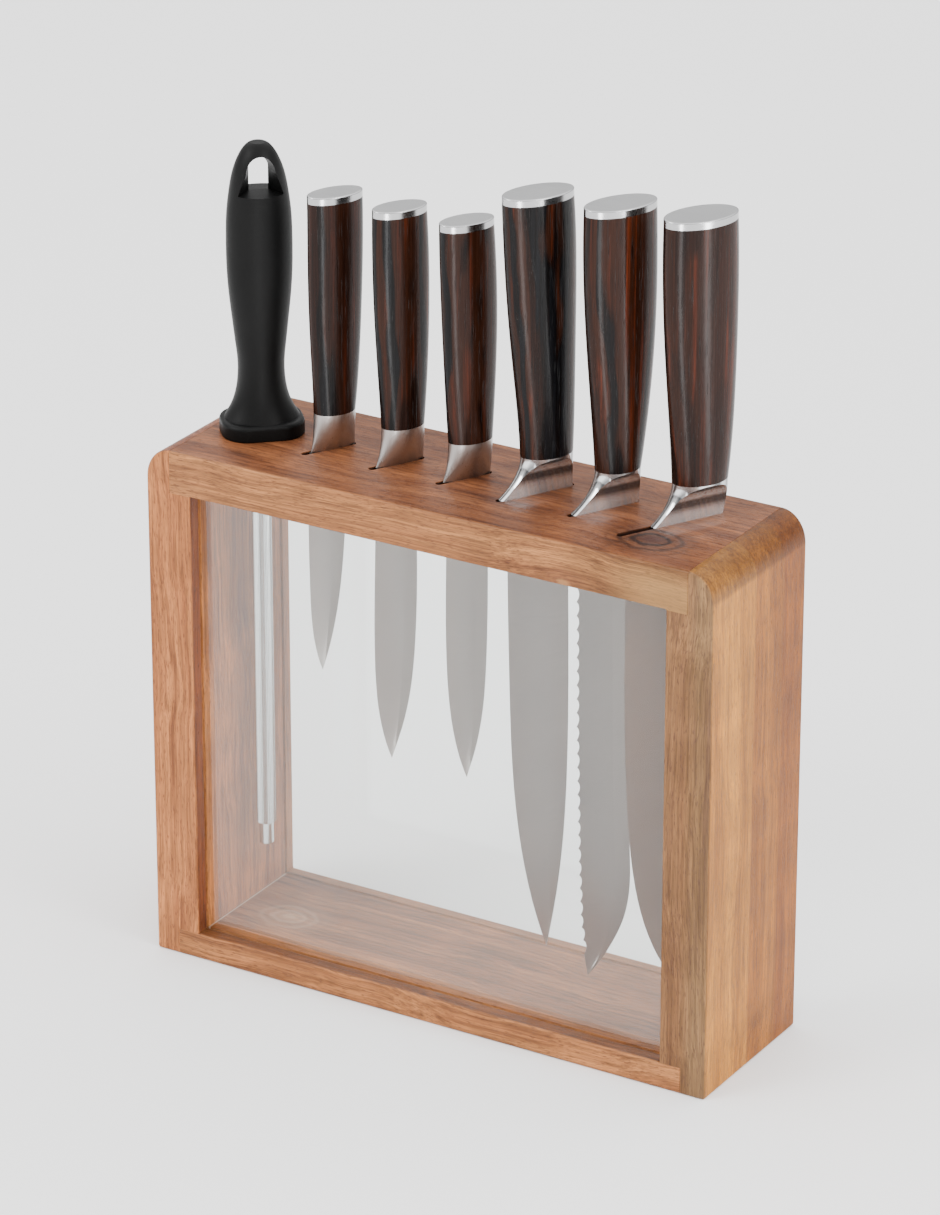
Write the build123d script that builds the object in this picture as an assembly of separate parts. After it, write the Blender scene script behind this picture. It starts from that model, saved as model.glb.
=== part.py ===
from build123d import *
from math import cos, pi, radians, sin
import os

os.makedirs("parts", exist_ok=True)

# A see-through knife block: four wooden boards, stepped and dowelled together, hold two glass panes.
# Six knives and a sharpening steel hang through the top board.
# Millimetres. +X runs along the front, -Y is the front, +Z is up, origin under the block's middle.

# ---- block ----
WIDTH = 260.0
DEPTH = 76.0
HEIGHT = 225.0
SIDE_THICK = 20.5
SIDE_LAP = 11.0             # what is left of a side board's thickness beside the top and bottom boards
TOP_THICK = 18.0
BOTTOM_THICK = 11.5
CORNER_DROP = 13.0          # how far down the side the rounded top corner reaches
EDGE_ROUND = 1.2
ARRIS_ROUND = 0.8           # on the edges round the glass opening
JOINT_BEVEL = 0.2           # leaves a fine line where the end of a board is glued to a side board

# ---- glass ----
GLASS_THICK = 3.0
GLASS_SET_BACK_FRONT = 6.4
GLASS_SET_BACK_BACK = 5.2
GROOVE_DEPTH = 3.5
GROOVE_PLAY = 0.1           # gap on each side of a pane in its groove

# ---- dowels in the corners, hidden in the boards ----
DOWEL_RADIUS = 3.0
DOWEL_IN_SIDE = 7.0
DOWEL_IN_BOARD = 14.0
DOWEL_Y = 22.0

# ---- slots and the steel's hole ----
SLOT_ANGLE = 62.0           # the slots slant across the top, measured from +X
SLOT_WIDE = 3.0
STEEL_X = -99.2
STEEL_Y = 0.5
STEEL_TURN = 42.0           # which way the steel's loop faces
STEEL_HOLE_RADIUS = 5.2

# ---- knives: shared sizes ----
BOLSTER_TOP = 241.0
CAP_THICK = 3.0
CAP_ROUND = 0.45
FACE_SHARE = 0.3            # part of the blade's width that stays at full thickness
TIP_SHARE = 0.2
TANG_SHARE = 0.98           # the tang's thickness against the blade's
HEEL_END = 200.0            # a projecting heel reaches down to here
SCALLOP_PITCH = 6.0         # on the bread knife's edge
SCALLOP_DEPTH = 1.2
SCALLOP_TOP = 203.0
SCALLOP_END = 34.0
CREASE_RADIUS = 16.0        # the hollow on each side of a forged bolster
CREASE_FOOT = 2.5           # the forged bolster's thin foot stays flat up to here

# ---- sharpening steel ----
GUARD_WIDE = 33.8
GUARD_DEEP = 27.0
GUARD_CORNER = 10.5
GUARD_THICK = 6.8
GUARD_ROUND = 1.8
ROD_RADIUS = 4.0
ROD_FLUTES = 36
ROD_FLUTE_DEPTH = 0.25
ROD_END_Z = 51.0
TIP_END_Z = 41.0
TIP_RADIUS = 3.0
STEEL_TANG_RADIUS = 3.0
STEEL_TANG_TOP = 290.0
# The loop's hole: half width at the sill and at the shoulder, then heights of sill, shoulder and head.
LOOP_WINDOW = (3.9, 3.9, 328.0, 337.6, 341.8)
LOOP_MOUTH = (15.0, 7.6, 326.8, 335.5, 345.0)
LOOP_REACH = 13.0           # each mouth lies this far from the window

X_JOINT = WIDTH / 2 - SIDE_LAP
X_INNER = WIDTH / 2 - SIDE_THICK
Z_TOP = HEIGHT - TOP_THICK
FRONT_PANE_Y = -DEPTH / 2 + GLASS_SET_BACK_FRONT + GLASS_THICK / 2
BACK_PANE_Y = DEPTH / 2 - GLASS_SET_BACK_BACK - GLASS_THICK / 2
PANE_YS = (FRONT_PANE_Y, BACK_PANE_Y)

# Each blade is given by stations (height, cutting edge, spine) from the block's top down, then
# its tip (across, height). "Across" is measured along the slot, positive to the back.
# Handle stations are (height, front, back, half thickness).
KNIVES = {
    "paring": dict(
        x=-64.5, slot=(-15.0, 10.0), thick=1.6,
        blade=[(225, -11.3, 9.0), (190, -11.3, 5.2), (165, -10.9, 2.8), (147, -9.8, -0.5)],
        tip=(-5.5, 129), foot=(-10.6, 9.6), foot_thick=3.6, creased=False,
        handle=[(241, -8.6, 9.4, 6.2), (262, -9.5, 11.5, 6.2), (285, -10.4, 12.8, 6.4),
                (310, -10.6, 13.6, 6.6), (330, -10.6, 13.6, 6.6)],
        tang=(0.4, 7.0), heel=None, serrated=False),
    "utility": dict(
        x=-33.3, slot=(-14.5, 11.0), thick=1.6,
        blade=[(225, -10.9, 8.2), (180, -11.2, 8.0), (145, -11.5, 6.9), (120, -9.9, 3.6)],
        tip=(-3.8, 96.5), foot=(-11.2, 10.6), foot_thick=3.6, creased=False,
        handle=[(241, -8.0, 10.6, 6.2), (262, -9.4, 12.2, 6.2), (285, -10.8, 13.1, 6.4),
                (310, -11.6, 13.1, 6.6), (330, -11.6, 12.2, 6.6)],
        tang=(1.2, 7.0), heel=None, serrated=False),
    "boning": dict(
        x=-2.65, slot=(-14.0, 11.8), thick=1.6,
        blade=[(225, -8.6, 10.4), (180, -8.6, 10.5), (145, -8.2, 9.9), (115, -5.0, 6.9)],
        tip=(1.1, 94), foot=(-10.6, 11.2), foot_thick=3.6, creased=False,
        handle=[(241, -7.6, 11.6, 6.2), (262, -9.0, 12.9, 6.2), (285, -10.2, 13.7, 6.4),
                (310, -11.2, 13.4, 6.6), (330, -11.6, 12.2, 6.6)],
        tang=(2.0, 7.0), heel=None, serrated=False),
    "carving": dict(
        x=28.5, slot=(-17.5, 18.5), thick=2.0,
        blade=[(225, -11.6, 16.0), (190, -11.2, 16.4), (145, -10.2, 16.9), (100, -8.0, 16.5),
               (60, -2.2, 13.7)],
        tip=(8.0, 24), foot=(-15.8, 17.6), foot_thick=3.4, creased=True,
        handle=[(241, -5.6, 17.2, 7.6), (265, -7.6, 17.8, 7.9), (295, -10.9, 18.1, 8.3),
                (325, -13.2, 18.0, 8.6), (347, -14.3, 16.8, 8.6)],
        tang=(5.8, 9.0), heel=-15.6, serrated=False),
    "bread": dict(
        x=59.45, slot=(-16.0, 17.0), thick=2.0,
        blade=[(225, -10.8, 12.0), (180, -10.6, 12.2), (130, -10.1, 13.3), (80, -8.9, 14.6),
               (46, -7.3, 13.1)],
        tip=(-3.8, 22), foot=(-13.8, 16.4), foot_thick=3.4, creased=True,
        handle=[(241, -2.6, 16.7, 7.6), (265, -4.6, 20.2, 7.9), (295, -7.2, 22.7, 8.3),
                (325, -8.8, 23.3, 8.6), (347, -8.8, 22.8, 8.6)],
        tang=(7.2, 9.0), heel=-13.6, serrated=True),
    "chef": dict(
        x=89.5, slot=(-24.0, 24.8), thick=2.2,
        blade=[(221.5, -19.2, 23.9), (180, -19.1, 23.5), (140, -18.6, 22.6), (100, -16.5, 20.8),
               (65, -11.4, 18.2)],
        tip=(12.0, 18), foot=(-8.0, 24.2), foot_thick=3.4, creased=True,
        handle=[(241, 1.9, 25.9, 8.2), (265, 0.2, 28.0, 8.6), (295, -2.2, 29.0, 9.0),
                (325, -3.6, 29.1, 9.3), (347, -3.6, 28.4, 9.3)],
        tang=(13.8, 10.0), heel=None, serrated=False),
}


def save(name, shape):
    """Write one sub-part to its own STEP file."""
    export_step(shape, f"parts/{name}.step")


def brick(x0, x1, y0, y1, z0, z1):
    """A box given by its limits."""
    return Pos((x0 + x1) / 2, (y0 + y1) / 2, (z0 + z1) / 2) * Box(x1 - x0, y1 - y0, z1 - z0)


def knife_plane(x, offset=0.0):
    """A knife's own upright plane: its x runs along the slot, its y is world up."""
    turn = radians(SLOT_ANGLE)
    normal = Vector(sin(turn), -cos(turn), 0)
    return Plane(origin=Vector(x, 0, 0) + normal * offset, x_dir=(cos(turn), sin(turn), 0), z_dir=normal)


def edges_at(shape, axis, value, tolerance=0.01):
    """Edges that lie wholly at one coordinate."""
    return shape.edges().filter_by_position(axis, value - tolerance, value + tolerance)


def pane_grooves(x0, x1, z0, z1):
    """The space that both panes need, with play."""
    half = GLASS_THICK / 2 + GROOVE_PLAY
    return [brick(x0, x1, y - half, y + half, z0, z1) for y in PANE_YS]


# ---- boards ----

def dowel_places():
    """Name and centre height of each corner's dowels: x sign, y and z."""
    for side, sx in (("left", -1), ("right", 1)):
        for level, z in (("bottom", BOTTOM_THICK / 2), ("top", HEIGHT - TOP_THICK / 2)):
            for end, sy in (("front", -1), ("back", 1)):
                yield f"dowel_{level}_{side}_{end}", sx, sy * DOWEL_Y, z


def dowel(sx, y, z):
    """A plain round dowel that lies along X across the joint between two boards."""
    x0 = sx * (X_JOINT - DOWEL_IN_BOARD)
    x1 = sx * (X_JOINT + DOWEL_IN_SIDE)
    pin = Cylinder(DOWEL_RADIUS, abs(x1 - x0))
    return Pos((x0 + x1) / 2, y, z) * Rot(0, 90, 0) * pin


def dowels_in(place):
    """Every dowel whose name holds the given place, such as _top_ or _left_."""
    return [dowel(sx, y, z) for name, sx, y, z in dowel_places() if place in name]


def side_plate():
    """The right side board's full-height outer part, its top corner rounded over."""
    outer = WIDTH / 2
    arc_z = HEIGHT - CORNER_DROP
    outline = Line((X_JOINT, 0), (outer, 0)) + Line((outer, 0), (outer, arc_z))
    outline += EllipticalCenterArc((X_JOINT, arc_z), SIDE_LAP, CORNER_DROP, start_angle=0, arc_size=90)
    outline += Line((X_JOINT, HEIGHT), (X_JOINT, 0))
    plate = Pos(0, DEPTH / 2, 0) * extrude(make_face(Plane.XZ * outline), DEPTH, dir=(0, -1, 0))
    free = [e for e in plate.edges() if e.center().X > X_JOINT + 0.5]
    rim = [e for e in free if abs(abs(e.center().Y) - DEPTH / 2) < 0.01 or e.center().Z < 0.01]
    plate = fillet(rim, EDGE_ROUND)
    return chamfer(edges_at(plate, Axis.X, X_JOINT), JOINT_BEVEL)


def side_board(side):
    """Side board: thin beside the top and bottom boards, thick between them, grooved for the panes."""
    stile = brick(X_INNER, X_JOINT + 1, -DEPTH / 2, DEPTH / 2, BOTTOM_THICK, Z_TOP)
    arrises = edges_at(stile, Axis.X, X_INNER).filter_by(Axis.Z)
    board = side_plate() + fillet(arrises, ARRIS_ROUND)
    for groove in pane_grooves(X_INNER - 1, X_INNER + GROOVE_DEPTH, BOTTOM_THICK - 1, Z_TOP + 1):
        board -= groove
    if side == "left":
        board = mirror(board, about=Plane.YZ)
    for pin in dowels_in(f"_{side}_"):
        board -= pin
    return board


def arris_sliver(sy, z, up):
    """What rounding takes off a level board's inner edge between the side boards."""
    size = ARRIS_ROUND
    middle_y = sy * (DEPTH / 2 - size)
    corner = Pos(0, middle_y + sy * size / 2, z + up * size / 2) * Box(2 * X_INNER, size, size)
    return corner - Pos(0, middle_y, z + up * size) * Rot(0, 90, 0) * Cylinder(size, 2 * X_INNER)


def level_board(inner_z, outer_z):
    """Top or bottom board between the side boards, grooved for the panes on its inner face."""
    up = 1 if outer_z > inner_z else -1
    board = brick(-X_JOINT, X_JOINT, -DEPTH / 2, DEPTH / 2, min(inner_z, outer_z), max(inner_z, outer_z))
    board = fillet(edges_at(board, Axis.Z, outer_z).filter_by(Axis.X), EDGE_ROUND)
    board = chamfer(edges_at(board, Axis.X, -X_JOINT) + edges_at(board, Axis.X, X_JOINT), JOINT_BEVEL)
    for sy in (-1, 1):
        board -= arris_sliver(sy, inner_z, up)
    reach = X_INNER + GROOVE_DEPTH
    low, high = sorted((inner_z - up, inner_z + up * GROOVE_DEPTH))
    for groove in pane_grooves(-reach, reach, low, high):
        board -= groove
    return board


def slot_cutter(knife):
    """A long round-ended slot right through the top board."""
    front, back = knife["slot"]
    turn = Rot(0, 0, SLOT_ANGLE)
    outline = Pos((front + back) / 2, 0) * SlotOverall(back - front, SLOT_WIDE)
    return Pos(knife["x"], 0, Z_TOP - 1) * turn * extrude(outline, TOP_THICK + 2)


def top_board():
    """Thick top board with six slanted slots and the steel's round hole."""
    board = level_board(Z_TOP, HEIGHT)
    for knife in KNIVES.values():
        board -= slot_cutter(knife)
    board -= Pos(STEEL_X, STEEL_Y, HEIGHT - TOP_THICK / 2) * Cylinder(STEEL_HOLE_RADIUS, TOP_THICK + 2)
    for pin in dowels_in("_top_"):
        board -= pin
    return board


def bottom_board():
    """Bottom board that the block stands on."""
    board = level_board(BOTTOM_THICK, 0)
    for pin in dowels_in("_bottom_"):
        board -= pin
    return board


def pane(y):
    """A glass pane that stands in its grooves."""
    reach = X_INNER + GROOVE_DEPTH - GROOVE_PLAY
    low = BOTTOM_THICK - GROOVE_DEPTH
    high = Z_TOP + GROOVE_DEPTH - GROOVE_PLAY
    return brick(-reach, reach, y - GLASS_THICK / 2, y + GLASS_THICK / 2, low, high)


# ---- knives ----

def blade_outline(knife, inset):
    """Closed outline in the knife's plane: the whole blade, or its full-thickness face when inset."""
    stations = knife["blade"]
    tip = Vector(*knife["tip"])
    last_z, last_edge, last_spine = stations[-1]
    edge = [(front, z) for z, front, back in stations]
    spine = [(back, z) for z, front, back in stations]
    if inset:
        edge = [(back - FACE_SHARE * (back - front), z) for z, front, back in stations]
        middle = Vector(last_spine - FACE_SHARE * (last_spine - last_edge) / 2, last_z)
        tip = tip + (middle - tip) * TIP_SHARE
    tip_point = (tip.X, tip.Y)
    down = Spline(*spine, tip_point)
    up = Spline(tip_point, *reversed(edge))
    close = Line(edge[0], spine[0])
    return Wire([down.edge(), up.edge(), close.edge()])


def edge_at(knife, z):
    """Where the straight runs between a blade's stations put its cutting edge at one height."""
    points = [(high, edge) for high, edge, spine in knife["blade"]]
    points.append((knife["tip"][1], knife["tip"][0]))
    for (high, upper), (low, lower) in zip(points, points[1:]):
        if low <= z <= high:
            return upper + (lower - upper) * (high - z) / (high - low)
    return points[-1][1]


def scallops(knife):
    """Round cutters that leave a wavy edge."""
    radius = SCALLOP_PITCH ** 2 / (8 * SCALLOP_DEPTH) + SCALLOP_DEPTH / 2
    plane = knife_plane(knife["x"])
    for step in range(int((SCALLOP_TOP - SCALLOP_END) / SCALLOP_PITCH) + 1):
        z = SCALLOP_TOP - step * SCALLOP_PITCH
        centre = plane.from_local_coords((edge_at(knife, z) - radius + SCALLOP_DEPTH, z, 0))
        yield Plane(origin=centre, z_dir=plane.z_dir) * Cylinder(radius, 6)


def blade(knife):
    """Flat-ground blade with its tang."""
    half = knife["thick"] / 2
    plane = knife_plane(knife["x"])
    full = plane * Face(blade_outline(knife, False))
    shape = tang(knife)
    for side in (1, -1):
        face = knife_plane(knife["x"], side * half) * Face(blade_outline(knife, True))
        shape += loft([full, face], ruled=True)
    if knife["heel"]:
        top, front, _ = knife["blade"][0]
        corners = [(knife["heel"], top), (front + 3, top), (front + 3, HEEL_END), (front + 0.3, HEEL_END)]
        heel = Polyline(*corners, close=True)
        shape += plane * extrude(make_face(heel), half * 0.8, both=True)
    if knife["serrated"]:
        for cutter in scallops(knife):
            shape -= cutter
    return shape


def tang(knife):
    """The flat bar that runs up through bolster and handle."""
    middle, wide = knife["tang"]
    low = knife["blade"][0][0]
    high = knife["handle"][-1][0]
    bar = Pos(middle, (low + high) / 2) * Rectangle(wide, high - low)
    return knife_plane(knife["x"]) * extrude(bar, knife["thick"] / 2 * TANG_SHARE, both=True)


def oval(knife, z, front, back, half_thick):
    """An oval section across the knife at one height."""
    middle = knife_plane(knife["x"]).from_local_coords(((front + back) / 2, z, 0))
    plane = Plane(origin=middle, x_dir=knife_plane(knife["x"]).x_dir, z_dir=(0, 0, 1))
    return plane * Ellipse((back - front) / 2, half_thick)


def crease_prism(knife, sign):
    """One half of the wedge that a forged bolster is ground down to, hollow above its thin foot."""
    z_top, _, _, half = knife["handle"][0]
    thin, wide = knife["foot_thick"] / 2, half + 0.6
    flat = HEIGHT + CREASE_FOOT
    outline = Line((0, HEIGHT), (thin, HEIGHT)) + Line((thin, HEIGHT), (thin, flat))
    outline += RadiusArc((thin, flat), (wide, z_top), CREASE_RADIUS)
    outline += Line((wide, z_top), (0, z_top)) + Line((0, z_top), (0, HEIGHT))
    side = knife_plane(knife["x"])
    across = Plane(origin=(knife["x"], 0, 0), x_dir=side.z_dir * sign, z_dir=side.x_dir * -sign)
    return extrude(across * make_face(outline), 40, both=True)


def bolster(knife):
    """Steel collar between blade and handle, thin at the foot and oval at the top."""
    z_top, front, back, half = knife["handle"][0]
    foot_front, foot_back = knife["foot"]
    foot_half = knife["foot_thick"] / 2
    sections = []
    for share in (0, 0.25, 0.6, 1):
        lean = (1 - share) ** 2.2
        thick = foot_half + (half - foot_half) * (1 - (1 - share) ** 1.7)
        if knife["creased"]:
            thick = half * (0.8 + 0.2 * share)
        low_front = front + (foot_front - front) * lean
        low_back = back + (foot_back - back) * lean
        sections.append(oval(knife, HEIGHT + (z_top - HEIGHT) * share, low_front, low_back, thick))
    shape = loft(sections)
    if knife["creased"]:
        shape &= crease_prism(knife, 1) + crease_prism(knife, -1)
    return shape - tang(knife)


def handle(knife):
    """Oval wooden grip with a bore for the tang."""
    return loft([oval(knife, *station) for station in knife["handle"]]) - tang(knife)


def end_cap(knife):
    """Flat steel cap on the end of the grip."""
    z, front, back, half = knife["handle"][-1]
    cap = extrude(oval(knife, z, front, back, half), CAP_THICK)
    rim = edges_at(cap, Axis.Z, z + CAP_THICK)
    return fillet(rim, CAP_ROUND)


# ---- sharpening steel ----

def steel_rod():
    """Fluted rod with a turned tip, and a tang inside the handle."""
    points = []
    for i in range(2 * ROD_FLUTES):
        radius = ROD_RADIUS - (ROD_FLUTE_DEPTH if i % 2 else 0)
        angle = pi * i / ROD_FLUTES
        points.append((radius * cos(angle), radius * sin(angle)))
    fluted = Pos(0, 0, ROD_END_Z) * extrude(make_face(Polyline(*points, close=True)), HEIGHT - ROD_END_Z)
    tip = Pos(0, 0, TIP_END_Z) * extrude(Circle(TIP_RADIUS), ROD_END_Z - TIP_END_Z)
    tip = chamfer(edges_at(tip, Axis.Z, TIP_END_Z), 0.6)
    bar = Pos(0, 0, HEIGHT) * extrude(Circle(STEEL_TANG_RADIUS), STEEL_TANG_TOP - HEIGHT)
    return Pos(STEEL_X, STEEL_Y, 0) * (fluted + tip + bar)


# Steel's grip above the guard: height, half width, half depth.
GRIP = [(230, 16.2, 12.8), (233.3, 14.6, 11.8), (237.7, 12.2, 10.5), (242.2, 10.7, 9.7), (247, 9.85, 9.3),
        (252, 9.5, 9.1), (257, 9.6, 9.1), (263.5, 10.3, 9.3), (272.5, 11.3, 9.7), (281.5, 12.3, 10.1),
        (290.5, 13.05, 10.3), (300, 13.4, 10.4), (309, 13.4, 10.4), (318, 13.1, 10.2), (327, 12.1, 9.7),
        (335.5, 10.5, 8.9), (342, 8.1, 7.4), (345.6, 5.9, 5.6), (347.8, 3.1, 3.0)]


def arch(foot_half, shoulder_half, low, shoulder, high):
    """An opening with a flat sill and an arched head."""
    outline = Line((-foot_half, low), (foot_half, low)) + Line((foot_half, low), (shoulder_half, shoulder))
    outline += EllipticalCenterArc((0, shoulder), shoulder_half, high - shoulder, start_angle=0, arc_size=180)
    outline += Line((-shoulder_half, shoulder), (-foot_half, low))
    return make_face(outline)


def steel_handle():
    """Moulded grip with an oblong guard and a hanging loop that opens out to both faces."""
    guard = Pos(0, 0, HEIGHT) * extrude(RectangleRounded(GUARD_WIDE, GUARD_DEEP, GUARD_CORNER), GUARD_THICK)
    guard = fillet(edges_at(guard, Axis.Z, HEIGHT + GUARD_THICK), GUARD_ROUND)
    guard = chamfer(edges_at(guard, Axis.Z, HEIGHT), 0.5)
    body = guard + loft([Pos(0, 0, z) * Ellipse(wide, deep) for z, wide, deep in GRIP])
    window = Plane.XZ * arch(*LOOP_WINDOW)
    for side in (1, -1):
        mouth = Plane.XZ.offset(side * LOOP_REACH) * arch(*LOOP_MOUTH)
        body -= loft([window, mouth])
    body -= Pos(0, 0, HEIGHT - 1) * extrude(Circle(STEEL_TANG_RADIUS), STEEL_TANG_TOP - HEIGHT + 1)
    return Pos(STEEL_X, STEEL_Y, 0) * Rot(0, 0, STEEL_TURN) * body


save("top_board", top_board())
save("bottom_board", bottom_board())
save("left_side_board", side_board("left"))
save("right_side_board", side_board("right"))
save("front_pane", pane(FRONT_PANE_Y))
save("back_pane", pane(BACK_PANE_Y))
for dowel_name, dowel_sx, dowel_y, dowel_z in dowel_places():
    save(dowel_name, dowel(dowel_sx, dowel_y, dowel_z))
for knife_name, knife_sizes in KNIVES.items():
    save(f"{knife_name}_blade", blade(knife_sizes))
    save(f"{knife_name}_bolster", bolster(knife_sizes))
    save(f"{knife_name}_handle", handle(knife_sizes))
    save(f"{knife_name}_end_cap", end_cap(knife_sizes))
save("steel_rod", steel_rod())
save("steel_handle", steel_handle())
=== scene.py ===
import bmesh
import bpy
from math import cos, radians, sin
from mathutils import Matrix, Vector


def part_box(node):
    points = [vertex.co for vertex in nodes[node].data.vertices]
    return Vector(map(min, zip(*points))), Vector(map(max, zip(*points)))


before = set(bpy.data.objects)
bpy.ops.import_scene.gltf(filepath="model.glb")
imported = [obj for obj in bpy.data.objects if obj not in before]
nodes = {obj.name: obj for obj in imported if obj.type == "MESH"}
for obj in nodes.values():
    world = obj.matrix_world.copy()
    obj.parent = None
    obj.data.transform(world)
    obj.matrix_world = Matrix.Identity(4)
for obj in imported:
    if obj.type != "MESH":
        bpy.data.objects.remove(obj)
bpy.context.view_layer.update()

SLOT_ANGLE = radians(62)        # the slots slant across the block's top
LAYERS_PER_METRE = 560.0        # of the laminate in the grips
FORGED = ("carving", "bread", "chef")     # the knives with a mirror-polished collar
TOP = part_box("top_board")
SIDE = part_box("right_side_board")


# ---------------------------------------------------------------- node helpers

def new_group(name, inputs, outputs):
    """A shader node group with named sockets: name -> default for inputs, name -> kind for outputs."""
    group = bpy.data.node_groups.new(name, "ShaderNodeTree")
    kinds = {float: "NodeSocketFloat", tuple: "NodeSocketColor", None: "NodeSocketVector"}
    for label, default in inputs.items():
        kind = kinds[None] if default is None else kinds[type(default)]
        socket = group.interface.new_socket(name=label, in_out="INPUT", socket_type=kind)
        if default is not None:
            socket.default_value = default
    for label, kind in outputs.items():
        group.interface.new_socket(name=label, in_out="OUTPUT", socket_type=kind)
    start = group.nodes.new("NodeGroupInput")
    end = group.nodes.new("NodeGroupOutput")
    return group, start, end


def node(tree, kind, links=(), **settings):
    """Adds a node. links is input name or number -> an output socket or a plain value."""
    made = tree.nodes.new(kind)
    for key, value in settings.items():
        setattr(made, key, value)
    for key, value in dict(links).items():
        if isinstance(value, bpy.types.NodeSocket):
            tree.links.new(value, made.inputs[key])
        else:
            made.inputs[key].default_value = value
    return made


def maths(tree, operation, first, second=None):
    """One Math node's result."""
    links = {0: first}
    if second is not None:
        links[1] = second
    return node(tree, "ShaderNodeMath", links, operation=operation).outputs[0]


def mix_colour(tree, share, first, second, blend="MIX"):
    """One colour Mix node's result."""
    made = node(tree, "ShaderNodeMix", {0: share, 6: first, 7: second}, data_type="RGBA", blend_type=blend)
    return made.outputs[2]


def ramp(tree, value, stops, smooth=False):
    """A colour ramp's colour. stops is a list of (position, colour)."""
    made = node(tree, "ShaderNodeValToRGB", {0: value})
    ramp_of = made.color_ramp
    ramp_of.interpolation = "EASE" if smooth else "LINEAR"
    while len(ramp_of.elements) < len(stops):
        ramp_of.elements.new(0.5)
    for element, (place, colour) in zip(ramp_of.elements, stops):
        element.position = place
        element.color = colour
    return made.outputs[0]


def noise(tree, vector, scale, detail=2.0, roughness=0.5):
    """Noise texture, its plain value."""
    links = {"Vector": vector, "Scale": scale, "Detail": detail, "Roughness": roughness}
    return node(tree, "ShaderNodeTexNoise", links).outputs[0]


def stretched(tree, vector, scale):
    """A vector multiplied part by part."""
    made = node(tree, "ShaderNodeVectorMath", {0: vector, 1: scale}, operation="MULTIPLY")
    return made.outputs[0]


def added(tree, first, second):
    """Two vectors' sum."""
    return node(tree, "ShaderNodeVectorMath", {0: first, 1: second}, operation="ADD").outputs[0]


def new_material(name, **principled):
    """A material with one Principled shader, its plain values set on its own sockets."""
    material = bpy.data.materials.new(name)
    material.use_nodes = True
    tree = material.node_tree
    shader = tree.nodes["Principled BSDF"]
    for key, value in principled.items():
        shader.inputs[key.replace("_", " ")].default_value = value
    return material, tree, shader


def placed(tree, rotation=(0, 0, 0)):
    """Object coordinates through a Mapping node."""
    where = node(tree, "ShaderNodeTexCoord").outputs["Object"]
    return node(tree, "ShaderNodeMapping", {"Vector": where, "Rotation": rotation}).outputs[0]


def spread(tree, value, low, high, first=0.0, second=1.0):
    """A value moved from one range into another and kept inside it."""
    links = {0: value, 1: low, 2: high, 3: first, 4: second}
    return node(tree, "ShaderNodeMapRange", links, clamp=True).outputs[0]


def tinted(tree, colour, value):
    """A colour multiplied by a value."""
    grey = node(tree, "ShaderNodeCombineXYZ", {0: value, 1: value, 2: value}).outputs[0]
    return mix_colour(tree, 1.0, colour, grey, "MULTIPLY")


# ---------------------------------------------------------------- shared effects

def make_grain_group():
    """Hardwood: bands, fibres and pores that run along the vector's X."""
    tree, start, end = new_group(
        "board grain",
        {"Vector": None, "Light": (0.4, 0.2, 0.1, 1), "Middle": (0.3, 0.14, 0.07, 1),
         "Dark": (0.1, 0.04, 0.02, 1), "Band Width": 1.0, "Contrast": 1.0, "Seed": 0.0},
        {"Color": "NodeSocketColor", "Roughness": "NodeSocketFloat", "Height": "NodeSocketFloat"})
    seed = start.outputs["Seed"]
    shift = node(tree, "ShaderNodeCombineXYZ", {0: seed, 1: seed, 2: seed}).outputs[0]
    where = added(tree, start.outputs["Vector"], shift)
    sway = noise(tree, stretched(tree, where, (9, 14, 14)), 1.0, 2.0)
    sway = maths(tree, "MULTIPLY", maths(tree, "SUBTRACT", sway, 0.5), 0.02)
    bent = node(tree, "ShaderNodeCombineXYZ", {1: sway, 2: sway}).outputs[0]
    where = added(tree, where, bent)
    wide = node(tree, "ShaderNodeVectorMath", {0: where, 3: start.outputs["Band Width"]},
                operation="SCALE").outputs[0]
    bands = noise(tree, stretched(tree, wide, (3, 60, 60)), 1.0, 3.0, 0.6)
    rings = noise(tree, stretched(tree, wide, (6, 310, 310)), 1.0, 3.0, 0.65)
    fibres = noise(tree, stretched(tree, where, (22, 1300, 1300)), 1.0, 3.0, 0.7)
    pores = noise(tree, stretched(tree, where, (300, 2300, 2300)), 1.0, 1.0, 0.5)
    figure = noise(tree, stretched(tree, where, (60, 16, 16)), 1.0, 2.0, 0.5)
    band = spread(tree, bands, 0.34, 0.62)
    colour = mix_colour(tree, band, start.outputs["Light"], start.outputs["Middle"])
    late = maths(tree, "MULTIPLY", spread(tree, rings, 0.47, 0.7), 0.7)
    late = maths(tree, "MULTIPLY", late, start.outputs["Contrast"])
    colour = mix_colour(tree, late, colour, start.outputs["Dark"])
    streak = maths(tree, "MULTIPLY", spread(tree, bands, 0.6, 0.7), spread(tree, rings, 0.42, 0.6))
    colour = mix_colour(tree, maths(tree, "MULTIPLY", streak, 0.6), colour, start.outputs["Dark"])
    colour = tinted(tree, colour, spread(tree, fibres, 0.3, 0.7, 0.55, 1.35))
    colour = tinted(tree, colour, spread(tree, figure, 0.3, 0.7, 0.86, 1.12))
    hole = spread(tree, pores, 0.58, 0.68)
    colour = mix_colour(tree, maths(tree, "MULTIPLY", hole, 0.6), colour, start.outputs["Dark"])
    tree.links.new(colour, end.inputs["Color"])
    tree.links.new(spread(tree, fibres, 0.3, 0.7, 0.34, 0.5), end.inputs["Roughness"])
    height = maths(tree, "SUBTRACT", maths(tree, "MULTIPLY", fibres, 0.4), hole)
    tree.links.new(height, end.inputs["Height"])
    return tree


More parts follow.
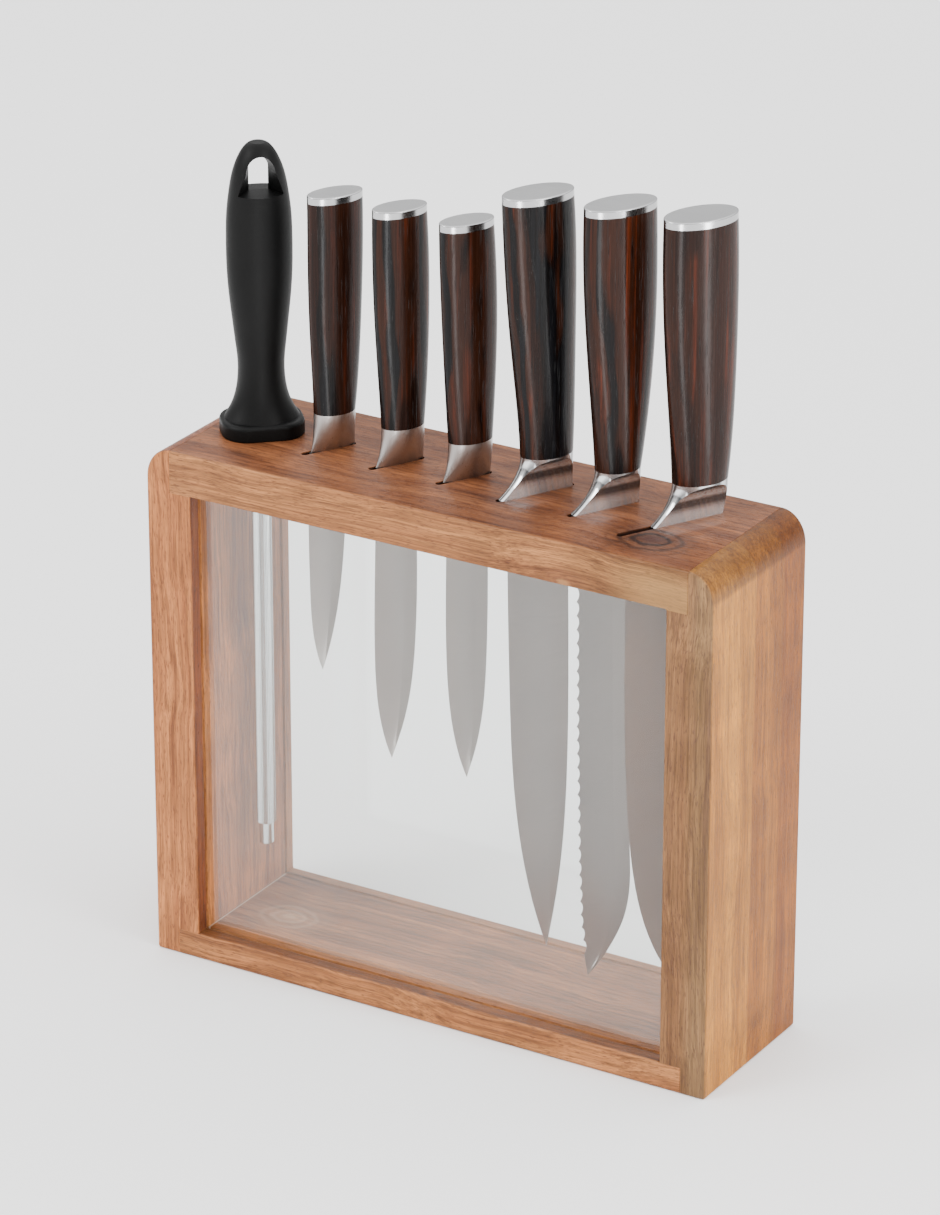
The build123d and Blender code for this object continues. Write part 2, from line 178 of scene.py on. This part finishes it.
def make_knot_group():
    """A knot: uneven dark rings round the vector's Z axis, fading out at the radius."""
    tree, start, end = new_group(
        "knot",
        {"Vector": None, "Color": (0.3, 0.15, 0.08, 1), "Core": (0.05, 0.03, 0.03, 1),
         "Rings": (0.12, 0.05, 0.03, 1), "Radius": 0.012, "Strength": 1.0},
        {"Color": "NodeSocketColor"})
    where = start.outputs["Vector"]
    wobble = noise(tree, where, 110.0, 4.0, 0.6)
    flat = stretched(tree, where, (1, 1, 0))
    away = node(tree, "ShaderNodeVectorMath", {0: flat}, operation="LENGTH").outputs["Value"]
    away = maths(tree, "ADD", away, maths(tree, "MULTIPLY", maths(tree, "SUBTRACT", wobble, 0.5), 0.006))
    share = maths(tree, "DIVIDE", away, start.outputs["Radius"])
    wave = maths(tree, "SINE", maths(tree, "MULTIPLY", share, 17.0))
    ring = maths(tree, "MULTIPLY", spread(tree, wave, -0.3, 0.8), spread(tree, share, 1.3, 0.6))
    halo = maths(tree, "MULTIPLY", spread(tree, share, 1.5, 0.3), 0.6)
    core = spread(tree, share, 0.42, 0.16)
    colour = start.outputs["Color"]
    for part, tone in ((halo, "Rings"), (maths(tree, "MULTIPLY", ring, 0.9), "Rings"), (core, "Core")):
        strong = maths(tree, "MULTIPLY", part, start.outputs["Strength"])
        colour = mix_colour(tree, strong, colour, start.outputs[tone])
    tree.links.new(colour, end.inputs["Color"])
    return tree


def make_laminate_group():
    """Dyed laminate: thin layers stacked along the vector's Y, with fibres along its Z."""
    tree, start, end = new_group(
        "dyed laminate",
        {"Vector": None, "Dark": (0.0015, 0.001, 0.001, 1), "Brown": (0.023, 0.0068, 0.003, 1),
         "Red": (0.11, 0.018, 0.005, 1), "Slate": (0.0045, 0.0045, 0.0055, 1)},
        {"Color": "NodeSocketColor", "Roughness": "NodeSocketFloat", "Height": "NodeSocketFloat"})
    where = start.outputs["Vector"]
    sway = noise(tree, stretched(tree, where, (70, 45, 11)), 1.0, 2.0, 0.5)
    parts = node(tree, "ShaderNodeSeparateXYZ", {0: where})
    bulge = noise(tree, stretched(tree, where, (110, 110, 22)), 1.0, 1.0, 0.5)
    layer = maths(tree, "MULTIPLY", parts.outputs["Y"], LAYERS_PER_METRE)
    layer = maths(tree, "ADD", layer, maths(tree, "MULTIPLY", sway, 5.5))
    layer = maths(tree, "ADD", layer, maths(tree, "MULTIPLY", bulge, 2.5))
    whole = maths(tree, "FLOOR", layer)
    part = maths(tree, "FRACT", layer)
    pick = node(tree, "ShaderNodeTexWhiteNoise", {"W": whole}, noise_dimensions="1D").outputs[0]
    after = node(tree, "ShaderNodeTexWhiteNoise", {"W": maths(tree, "ADD", whole, 1.0)},
                 noise_dimensions="1D").outputs[0]
    blend = spread(tree, part, 0.7, 1.0)
    pick = maths(tree, "ADD", maths(tree, "MULTIPLY", pick, maths(tree, "SUBTRACT", 1.0, blend)),
                 maths(tree, "MULTIPLY", after, blend))
    fibres = noise(tree, stretched(tree, where, (1300, 1300, 22)), 1.0, 3.0, 0.65)
    streaks = noise(tree, stretched(tree, where, (420, 420, 9)), 1.0, 2.0, 0.6)
    pores = noise(tree, stretched(tree, where, (2100, 2100, 70)), 1.0, 1.0, 0.5)
    share = maths(tree, "ADD", maths(tree, "MULTIPLY", pick, 0.5), maths(tree, "MULTIPLY", fibres, 0.5))
    colour = mix_colour(tree, spread(tree, share, 0.3, 0.72), start.outputs["Dark"], start.outputs["Brown"])
    red = maths(tree, "MULTIPLY", spread(tree, streaks, 0.52, 0.72), spread(tree, pick, 0.45, 0.95))
    red = maths(tree, "MULTIPLY", red, spread(tree, fibres, 0.3, 0.6))
    colour = mix_colour(tree, red, colour, start.outputs["Red"])
    slate = maths(tree, "MULTIPLY", spread(tree, pick, 0.32, 0.1), spread(tree, streaks, 0.42, 0.6))
    colour = mix_colour(tree, slate, colour, start.outputs["Slate"])
    hole = spread(tree, pores, 0.62, 0.72)
    colour = mix_colour(tree, maths(tree, "MULTIPLY", hole, 0.6), colour, start.outputs["Dark"])
    tree.links.new(colour, end.inputs["Color"])
    tree.links.new(spread(tree, fibres, 0.3, 0.7, 0.2, 0.32), end.inputs["Roughness"])
    tree.links.new(maths(tree, "MULTIPLY", hole, -1.0), end.inputs["Height"])
    return tree


def make_brushed_group():
    """Ground metal: fine lines along the vector's X change roughness, tone and height."""
    tree, start, end = new_group(
        "brushed lines",
        {"Vector": None, "Low": 0.2, "High": 0.35, "Color": (0.6, 0.6, 0.6, 1)},
        {"Color": "NodeSocketColor", "Roughness": "NodeSocketFloat", "Height": "NodeSocketFloat"})
    lines = noise(tree, stretched(tree, start.outputs["Vector"], (60, 4000, 4000)), 1.0, 3.0, 0.6)
    cloud = noise(tree, start.outputs["Vector"], 45.0, 3.0, 0.5)
    mixed = maths(tree, "ADD", maths(tree, "MULTIPLY", lines, 0.7), maths(tree, "MULTIPLY", cloud, 0.3))
    rough = node(tree, "ShaderNodeMapRange", {0: mixed, 1: 0.3, 2: 0.7, 3: start.outputs["Low"],
                                              4: start.outputs["High"]}).outputs[0]
    tree.links.new(rough, end.inputs["Roughness"])
    tree.links.new(tinted(tree, start.outputs["Color"], spread(tree, mixed, 0.3, 0.7, 0.9, 1.08)),
                   end.inputs["Color"])
    tree.links.new(lines, end.inputs["Height"])
    return tree


grain_group = make_grain_group()
knot_group = make_knot_group()
laminate_group = make_laminate_group()
brushed_group = make_brushed_group()


# ---------------------------------------------------------------- materials

UPRIGHT = (0, radians(90), 0)           # turns what runs along X upright
ALONG_THE_SLOT = (0, 0, -SLOT_ANGLE)


def bump_into(tree, shader, height, distance, strength=1.0):
    """Feeds a height through a Bump node into the shader's normal."""
    made = node(tree, "ShaderNodeBump", {"Height": height, "Distance": distance, "Strength": strength})
    tree.links.new(made.outputs[0], shader.inputs["Normal"])


def use_group(tree, group, **values):
    """Adds a shared effect. Socket names are given with _ for a space."""
    made = tree.nodes.new("ShaderNodeGroup")
    made.node_tree = group
    for key, value in values.items():
        socket = made.inputs[key.replace("_", " ")]
        if isinstance(value, bpy.types.NodeSocket):
            tree.links.new(value, socket)
        else:
            socket.default_value = value
    return made


def inside(tree, where, limits):
    """1 inside a box of space and 0 outside it. limits: axis -> (low, high, soft edge)."""
    parts = node(tree, "ShaderNodeSeparateXYZ", {0: where})
    share = None
    for axis, (low, high, edge) in limits.items():
        place = parts.outputs[axis]
        one = maths(tree, "MULTIPLY", spread(tree, place, low - edge, low + edge),
                    spread(tree, place, high + edge, high - edge))
        share = one if share is None else maths(tree, "MULTIPLY", share, one)
    return share


def board_wood(name, light, middle, dark, seed, upright=False, band_width=1.0, contrast=1.0, knots=(),
               patches=()):
    """Oiled hardwood for one board, its grain along X or, for an upright board, along Z.

    knots: (place, rotation, radius, strength, core, rings). patches: (limits, colour, share, blend).
    """
    material, tree, shader = new_material(name, Specular_IOR_Level=0.18)
    turn = UPRIGHT if upright else (0, 0, 0)
    made = use_group(tree, grain_group, Vector=placed(tree, turn), Light=light, Middle=middle,
                     Dark=dark, Band_Width=band_width, Contrast=contrast, Seed=seed)
    colour = made.outputs["Color"]
    for limits, tone, share, blend in patches:
        mask = maths(tree, "MULTIPLY", inside(tree, placed(tree), limits), share)
        colour = mix_colour(tree, mask, colour, tone, blend)
    for place, rotation, radius, strength, core, rings in knots:
        aim = node(tree, "ShaderNodeVectorMath", {0: placed(tree), 1: place}, operation="SUBTRACT").outputs[0]
        aim = node(tree, "ShaderNodeMapping", {"Vector": aim, "Rotation": rotation}).outputs[0]
        aim = stretched(tree, aim, (0.75, 1, 1))
        colour = use_group(tree, knot_group, Vector=aim, Color=colour, Core=core, Rings=rings, Radius=radius,
                           Strength=strength).outputs["Color"]
    tree.links.new(colour, shader.inputs["Base Color"])
    tree.links.new(made.outputs["Roughness"], shader.inputs["Roughness"])
    bump_into(tree, shader, made.outputs["Height"], 0.00006)
    return material


def grip_wood():
    """Dyed, resin-soaked laminate for the knife grips, polished."""
    material, tree, shader = new_material("dyed laminate grip", Specular_IOR_Level=0.12, Coat_Weight=0.06,
                                          Coat_Roughness=0.1)
    made = use_group(tree, laminate_group, Vector=placed(tree, ALONG_THE_SLOT))
    tree.links.new(made.outputs["Color"], shader.inputs["Base Color"])
    tree.links.new(made.outputs["Roughness"], shader.inputs["Roughness"])
    bump_into(tree, shader, made.outputs["Height"], 0.00004)
    return material


def ground_steel(name, colour, low, high, rotation):
    """Steel with fine grinding lines along one direction."""
    material, tree, shader = new_material(name, Metallic=1.0)
    made = use_group(tree, brushed_group, Vector=placed(tree, rotation), Low=low, High=high,
                     Color=colour)
    tree.links.new(made.outputs["Color"], shader.inputs["Base Color"])
    tree.links.new(made.outputs["Roughness"], shader.inputs["Roughness"])
    bump_into(tree, shader, made.outputs["Height"], 0.00001, 0.4)
    return material


def polished_steel():
    """Mirror-polished steel with painted reflections: dark stripes are painted into its colour where the
    curved surface turns away from the eye.
    """
    material, tree, shader = new_material("polished collar steel", Metallic=0.82)
    made = use_group(tree, brushed_group, Vector=placed(tree, UPRIGHT), Low=0.09, High=0.15,
                     Color=(0.7, 0.7, 0.705, 1))
    # painted reflection: a ramp on the facing angle paints dark and bright stripes into the steel's colour
    turned = node(tree, "ShaderNodeLayerWeight", {"Blend": 0.5}).outputs["Facing"]
    reflection_stripe_tones = [(0.0, 0.8), (0.06, 0.1), (0.13, 1.0), (0.25, 0.95), (0.33, 0.1), (0.42, 0.08), (0.49, 1.0),
             (0.6, 0.7), (0.7, 0.06), (0.82, 0.5)]
    painted_reflection_stripes = ramp(tree, turned, [(place, (tone, tone, tone, 1)) for place, tone in reflection_stripe_tones])
    colour = mix_colour(tree, 0.85, made.outputs["Color"], painted_reflection_stripes, "MULTIPLY")
    tree.links.new(colour, shader.inputs["Base Color"])
    tree.links.new(made.outputs["Roughness"], shader.inputs["Roughness"])
    return material


def pane_glass():
    """Clear glass that lets light through to what hangs behind it."""
    material, tree, shader = new_material("pane glass", Roughness=0.0, IOR=1.56, Transmission_Weight=1.0,
                                          Base_Color=(0.97, 0.985, 0.98, 1))
    clear = node(tree, "ShaderNodeBsdfTransparent", {"Color": (0.93, 0.95, 0.945, 1)})
    rays = node(tree, "ShaderNodeLightPath")
    blend = node(tree, "ShaderNodeMixShader", {0: rays.outputs["Is Shadow Ray"], 1: shader.outputs[0],
                                               2: clear.outputs[0]})
    tree.links.new(blend.outputs[0], tree.nodes["Material Output"].inputs["Surface"])
    return material


def black_plastic():
    """Fine-grained matte moulding."""
    material, tree, shader = new_material("black moulding", Specular_IOR_Level=0.13)
    where = placed(tree)
    grit = noise(tree, where, 2600.0, 3.0, 0.6)
    wear = noise(tree, where, 60.0, 3.0, 0.5)
    colour = ramp(tree, wear, [(0.3, (0.0015, 0.0015, 0.0015, 1)), (0.7, (0.003, 0.003, 0.003, 1))])
    tree.links.new(colour, shader.inputs["Base Color"])
    tree.links.new(spread(tree, grit, 0.3, 0.7, 0.4, 0.55), shader.inputs["Roughness"])
    bump_into(tree, shader, grit, 0.00005, 0.5)
    return material


KNOT_CORE = (0.045, 0.011, 0.005, 1)
KNOT_RINGS = (0.012, 0.004, 0.0025, 1)
END_GRAIN = (0.54, 0.55, 0.9, 1)
SLOT_SHADE = (0.014, 0.006, 0.004, 1)
FACE_Y = TOP[1][1] - 0.0008     # beyond this lie the boards' front and back faces
TOP_Z = TOP[1][2]
INNER_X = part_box("front_pane")[1][0]
PANE_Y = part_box("front_pane")[0][1]
FLOOR_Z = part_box("bottom_board")[1][2]
EVERYWHERE = (-1, 1, 0.001)     # each zone below gives its low end, high end and soft edge
BETWEEN_PANES = (PANE_Y, -PANE_Y, 0.0004)
REVEAL = (-FACE_Y, PANE_Y, 0.0005)      # the strip of board in front of the front pane

# painted shade: the slots' inner walls are painted near black where shade falls inside them
slot_shade_zone = {"X": (-0.108, 0.108, 0.0004), "Y": (-0.030, 0.030, 0.0004),
             "Z": (TOP[0][2] + 0.0006, TOP_Z - 0.0004, 0.0002)}
# painted shade: the top board's upper face is darkened, its tone set for how this light falls
top_face_shade_zone = {"X": EVERYWHERE, "Y": (-FACE_Y, FACE_Y, 0.0006), "Z": (TOP_Z - 0.003, 1, 0.0015)}
pale_end = {"X": (0.092, 0.13, 0.01), "Y": (-0.05, -FACE_Y, 0.0006), "Z": (0.2, 0.2205, 0.004)}
brown_end = {"X": (0.075, 0.13, 0.02), "Y": (-0.05, -FACE_Y, 0.0006), "Z": EVERYWHERE}
wood_top = board_wood("top board wood", (0.42, 0.175, 0.06, 1), (0.25, 0.096, 0.034, 1),
                      (0.085, 0.028, 0.012, 1), 0.31, band_width=2.0,
                      patches=[(top_face_shade_zone, (0.54, 0.466, 0.52, 1), 1.0, "MULTIPLY"),
                               (brown_end, (0.62, 0.66, 0.66, 1), 1.0, "MULTIPLY"),
                               (pale_end, (0.36, 0.2, 0.07, 1), 0.45, "MIX"),
                               (slot_shade_zone, SLOT_SHADE, 0.95, "MIX")],
                      knots=[((0.0915, -0.018, TOP_Z), (0, 0, 0), 0.0115, 1.0, KNOT_CORE, KNOT_RINGS),
                             ((0.064, TOP[0][1], 0.2085), (radians(90), 0, 0), 0.006, 0.5,
                              (0.4, 0.2, 0.08, 1), (0.15, 0.055, 0.025, 1))])
# painted shade: the floor inside the case, between the panes, is darkened
floor_inside_shade_zone = {"X": (-INNER_X, INNER_X, 0.0005), "Y": BETWEEN_PANES, "Z": (FLOOR_Z - 0.001, 1, 0.0004)}
# painted shade: the strip of floor in front of the front pane is darkened
floor_reveal_shade = {"X": (-INNER_X, INNER_X, 0.0005), "Y": REVEAL, "Z": (FLOOR_Z - 0.001, 1, 0.0004)}
# a paler line along the floor where it meets the left board's inner face
pale_corner_line = {"X": (-0.1096, -0.1088, 0.0003), "Y": BETWEEN_PANES, "Z": (FLOOR_Z - 0.001, 1, 0.0004)}
wood_bottom = board_wood("bottom board wood", (0.46, 0.187, 0.062, 1), (0.285, 0.105, 0.035, 1),
                         (0.095, 0.033, 0.014, 1), 1.7, band_width=1.8,
                         patches=[(floor_inside_shade_zone, (0.85, 0.8, 0.8, 1), 1.0, "MULTIPLY"),
                                  (floor_reveal_shade, (0.42, 0.37, 0.34, 1), 1.0, "MULTIPLY"),
                                  (pale_corner_line, (0.62, 0.46, 0.34, 1), 0.8, "MIX")],
                         knots=[((-0.086, -0.004, FLOOR_Z), (0, 0, 0), 0.011, 0.35, (0.5, 0.3, 0.18, 1),
                                 (0.56, 0.36, 0.24, 1))])

# The rounded top of each side board shows dark end grain; the right one is paler in front of its middle.
rounded_zone = {"X": EVERYWHERE, "Y": (-FACE_Y, FACE_Y, 0.0005), "Z": (SIDE[1][2] - 0.0125, 1, 0.001)}
rear_strip = {"X": EVERYWHERE, "Y": (-0.003, 1, 0.0006), "Z": (0, 1, 0.001)}
last_strip = {"X": EVERYWHERE, "Y": (0.020, 1, 0.0006), "Z": (0, 1, 0.001)}
# the right board's front face is darkened and made less orange: partly its wood's own tone, partly painted
# shade set for this light
front_face_shade_tint = {"X": EVERYWHERE, "Y": (-1, -FACE_Y, 0.0005), "Z": EVERYWHERE}
inner_zone = {"X": (0, 0.121, 0.003), "Y": (-1, -FACE_Y, 0.0005), "Z": EVERYWHERE}
# painted shade: the strip of the left board in front of the front pane is darkened
left_reveal_shade = {"X": (-0.1105, 0, 0.0005), "Y": REVEAL, "Z": (FLOOR_Z, TOP[0][2], 0.001)}
# painted light: the left board's inner face between the panes is brightened
left_inside_painted_light = {"X": (-0.1105, 0, 0.0005), "Y": BETWEEN_PANES, "Z": (FLOOR_Z, TOP[0][2], 0.001)}
wood_left = board_wood("left side board wood", (0.47, 0.175, 0.055, 1), (0.285, 0.096, 0.03, 1),
                       (0.11, 0.03, 0.012, 1), 2.9, upright=True, band_width=1.4,
                       patches=[(rounded_zone, END_GRAIN, 1.0, "MULTIPLY"),
                                (left_reveal_shade, (0.42, 0.33, 0.38, 1), 1.0, "MULTIPLY"),
                                (left_inside_painted_light, (1.25, 1.22, 1.2, 1), 1.0, "MULTIPLY")])
wood_right = board_wood("right side board wood", (0.455, 0.18, 0.019, 1), (0.305, 0.11, 0.0105, 1),
                        (0.14, 0.046, 0.007, 1), 5.3, upright=True, band_width=1.4, contrast=0.8,
                        patches=[(rear_strip, (0.67, 0.575, 0.5, 1), 1.0, "MULTIPLY"),
                                 (last_strip, (0.875, 0.785, 0.756, 1), 1.0, "MULTIPLY"),
                                 (front_face_shade_tint, (0.50, 0.70, 2.8, 1), 1.0, "MULTIPLY"),
                                 (inner_zone, (0.98, 0.84, 0.78, 1), 1.0, "MULTIPLY"),
                                 (rounded_zone, END_GRAIN, 1.0, "MULTIPLY")])
wood_dowel = board_wood("dowel wood", (0.50, 0.36, 0.20, 1), (0.44, 0.30, 0.17, 1), (0.26, 0.16, 0.08, 1),
                        6.1)
grip = grip_wood()
blade_steel = ground_steel("blade steel", (0.44, 0.405, 0.385, 1), 0.30, 0.42, ALONG_THE_SLOT)
collar_steel = ground_steel("satin collar steel", (0.47, 0.45, 0.435, 1), 0.26, 0.36, UPRIGHT)
mirror_steel = polished_steel()
cap_steel = ground_steel("cap steel", (0.44, 0.44, 0.445, 1), 0.16, 0.26, (0, 0, 0))
rod_steel = ground_steel("rod steel", (0.62, 0.63, 0.63, 1), 0.18, 0.28, UPRIGHT)
glass = pane_glass()
moulding = black_plastic()


# ---------------------------------------------------------------- finishes on the frame's own nodes

def finish_for(name):
    """The material for one frame node, from its name."""
    if name.endswith("_bolster"):
        return mirror_steel if name.split("_")[0] in FORGED else collar_steel
    named = {"top_board": wood_top, "bottom_board": wood_bottom, "left_side_board": wood_left,
             "right_side_board": wood_right, "steel_rod": rod_steel, "steel_handle": moulding}
    if name in named:
        return named[name]
    endings = {"_pane": glass, "_blade": blade_steel, "_end_cap": cap_steel, "_handle": grip}
    for ending, material in endings.items():
        if name.endswith(ending):
            return material
    return wood_dowel


for name, piece in nodes.items():
    piece.data.materials.clear()
    piece.data.materials.append(finish_for(name))


# ---------------------------------------------------------------- floor, light and camera

def make_floor():
    """A wide pale floor under the block."""
    shape = bmesh.new()
    bmesh.ops.create_grid(shape, x_segments=1, y_segments=1, size=25.0)
    mesh = bpy.data.meshes.new("floor")
    shape.to_mesh(mesh)
    shape.free()
    floor = bpy.data.objects.new("floor", mesh)
    bpy.context.scene.collection.objects.link(floor)
    material, tree, shader = new_material("pale floor", Base_Color=(0.88, 0.88, 0.88, 1), Roughness=0.9,
                                          Specular_IOR_Level=0.1)
    mesh.materials.append(material)


def make_sky():
    """Soft studio light from all round: bright above, dimmer towards the horizon."""
    world = bpy.data.worlds.new("studio")
    bpy.context.scene.world = world
    world.use_nodes = True
    tree = world.node_tree
    way = node(tree, "ShaderNodeTexCoord").outputs["Generated"]
    height = node(tree, "ShaderNodeSeparateXYZ", {0: way}).outputs["Z"]
    stops = [(0.0, (0.1, 0.1, 0.1, 1)), (0.3, (0.42, 0.42, 0.42, 1)), (0.6, (1, 1, 1, 1))]
    tone = ramp(tree, height, stops, True)
    background = tree.nodes["Background"]
    tree.links.new(tone, background.inputs["Color"])
    background.inputs["Strength"].default_value = 2.7


def soft_light(name, place, aim, size, power):
    """An area light, size wide by size high, that looks at a point. The camera doesn't see it."""
    light = bpy.data.lights.new(name, "AREA")
    light.shape = "RECTANGLE"
    light.size, light.size_y = size
    light.energy = power
    lamp = bpy.data.objects.new(name, light)
    bpy.context.scene.collection.objects.link(lamp)
    lamp.location = place
    lamp.rotation_mode = "QUATERNION"
    lamp.rotation_quaternion = (Vector(aim) - Vector(place)).to_track_quat("-Z", "Y")
    lamp.visible_camera = False


def make_camera():
    """A long lens, a little above the block and to the right of its front."""
    azimuth, elevation, distance = radians(31.1), radians(23.45), 2.309
    back = Vector((sin(azimuth) * cos(elevation), -cos(azimuth) * cos(elevation), sin(elevation)))
    camera = bpy.data.cameras.new("camera")
    camera.lens = 166.2
    camera.sensor_width = 36.0
    seat = bpy.data.objects.new("camera", camera)
    bpy.context.scene.collection.objects.link(seat)
    across = (-back).cross(Vector((0, 0, 1))).normalized()
    up = across.cross(-back)
    seat.location = back * distance + across * -0.0007 + up * 0.1554
    seat.rotation_mode = "QUATERNION"
    seat.rotation_quaternion = (-back).to_track_quat("-Z", "Y")
    bpy.context.scene.camera = seat


make_floor()
make_sky()
soft_light("key light", (-1.7, -2.3, 2.0), (0, 0, 0.15), (1.4, 1.4), 60)
soft_light("side light", (2.6, -0.4, 1.3), (0, 0, 0.15), (1.2, 1.2), 45)
soft_light("front strip", (0.27, -0.47, 0.11), (0, 0, 0.14), (0.1, 0.2), 0.8)
soft_light("right strip", (0.66, -0.06, 0.11), (0, 0, 0.14), (0.1, 0.2), 0.9)
make_camera()
